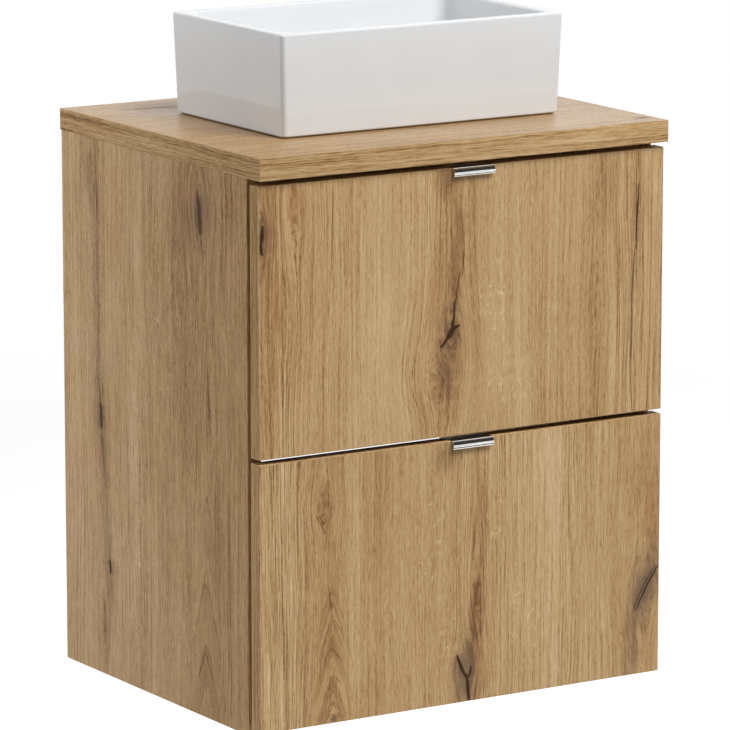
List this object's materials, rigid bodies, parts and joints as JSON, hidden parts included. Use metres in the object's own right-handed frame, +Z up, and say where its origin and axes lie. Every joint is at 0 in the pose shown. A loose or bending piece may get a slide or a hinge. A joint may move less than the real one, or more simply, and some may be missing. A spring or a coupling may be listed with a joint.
{
  "type": "vessel sink on vanity",
  "caption": "Wall-hung bathroom vanity in knotty oak with stacked drawers, chrome edge pulls and a rectangular white vessel basin with waste and bottle trap.",
  "frame": {"origin": "on the wall plane, at the middle of the back face of the steel rail that carries the cabinet, 70 mm below the worktop's surface", "axes": "+X to the right as seen from the front, +Y into the wall, +Z up; the drawer fronts face -Y"},
  "size_m": [0.5, 0.414, 0.7113],
  "materials": {
    "oak": "knotty oak laminate, satin",
    "oak_band": "oak edging, satin",
    "carcass": "oak laminate board, satin",
    "drawer_board": "grey coated board, matt",
    "chrome": "polished",
    "steel": "zinc plated",
    "ceramic": "gloss white glaze",
    "rubber": "matt",
    "plastic": "white, smooth"
  },
  "bodies": {
    "base": {"worktop": "oak", "worktop_front_band": "oak_band", "worktop_left_band": "oak_band", "worktop_right_band": "oak_band", "left_side_panel": "oak", "right_side_panel": "oak", "bottom_panel": "carcass", "front_top_rail": "carcass", "rear_lower_rail": "carcass", "rear_hanging_rail": "carcass", "wall_rail": "steel", "left_hanger": "steel", "right_hanger": "steel", "basin": "ceramic", "waste_body": "chrome", "flange_seal": "rubber", "worktop_gasket": "rubber", "lock_nut": "chrome", "dip_tube": "plastic", "inlet_nut": "plastic", "trap_bottle": "plastic", "trap_neck_nut": "plastic", "trap_cup": "plastic", "outlet_pipe": "plastic", "outlet_nut": "plastic", "wall_rosette": "chrome", "upper_left_runner_cabinet": "steel", "upper_right_runner_cabinet": "steel", "lower_left_runner_cabinet": "steel", "lower_right_runner_cabinet": "steel"},
    "upper_drawer": {"upper_drawer_front": "oak", "upper_pull": "chrome", "upper_pull_screw_1": "steel", "upper_pull_screw_2": "steel", "upper_drawer_left_side": "drawer_board", "upper_drawer_right_side": "drawer_board", "upper_drawer_back_left": "drawer_board", "upper_drawer_back_right": "drawer_board", "upper_drawer_siphon_left": "drawer_board", "upper_drawer_siphon_right": "drawer_board", "upper_drawer_siphon_front": "drawer_board", "upper_drawer_bottom": "drawer_board", "upper_left_runner_drawer": "steel", "upper_right_runner_drawer": "steel"},
    "lower_drawer": {"lower_drawer_front": "oak", "lower_pull": "chrome", "lower_pull_screw_1": "steel", "lower_pull_screw_2": "steel", "lower_drawer_left_side": "drawer_board", "lower_drawer_right_side": "drawer_board", "lower_drawer_back": "drawer_board", "lower_drawer_bottom": "drawer_board", "lower_left_runner_drawer": "steel", "lower_right_runner_drawer": "steel"},
    "upper_left_slide": {"upper_left_runner_middle": "steel"},
    "upper_right_slide": {"upper_right_runner_middle": "steel"},
    "lower_left_slide": {"lower_left_runner_middle": "steel"},
    "lower_right_slide": {"lower_right_runner_middle": "steel"},
    "plug": {"plug_cap": "chrome", "plug_seal": "rubber"}
  },
  "joints": [
    {"name": "upper_drawer_pull_out", "type": "slide", "parent": "base", "child": "upper_drawer", "axis": [0, -1, 0], "range_m": [0, 0.32]},
    {"name": "lower_drawer_pull_out", "type": "slide", "parent": "base", "child": "lower_drawer", "axis": [0, -1, 0], "range_m": [0, 0.32]},
    {"name": "upper_left_runner_travel", "type": "slide", "parent": "base", "child": "upper_left_slide", "axis": [0, -1, 0], "range_m": [0, 0.16]},
    {"name": "upper_right_runner_travel", "type": "slide", "parent": "base", "child": "upper_right_slide", "axis": [0, -1, 0], "range_m": [0, 0.16]},
    {"name": "lower_left_runner_travel", "type": "slide", "parent": "base", "child": "lower_left_slide", "axis": [0, -1, 0], "range_m": [0, 0.16]},
    {"name": "lower_right_runner_travel", "type": "slide", "parent": "base", "child": "lower_right_slide", "axis": [0, -1, 0], "range_m": [0, 0.16]},
    {"name": "plug_press", "type": "slide", "parent": "base", "child": "plug", "axis": [0, 0, -1], "range_m": [0, 0.008], "stiffness_N_per_m": 500, "springref_m": -0.006}
  ],
  "couplings": [
    {"joint": "upper_left_runner_travel", "follows": "upper_drawer_pull_out", "ratio": 0.5},
    {"joint": "upper_right_runner_travel", "follows": "upper_drawer_pull_out", "ratio": 0.5},
    {"joint": "lower_left_runner_travel", "follows": "lower_drawer_pull_out", "ratio": 0.5},
    {"joint": "lower_right_runner_travel", "follows": "lower_drawer_pull_out", "ratio": 0.5}
  ]
}
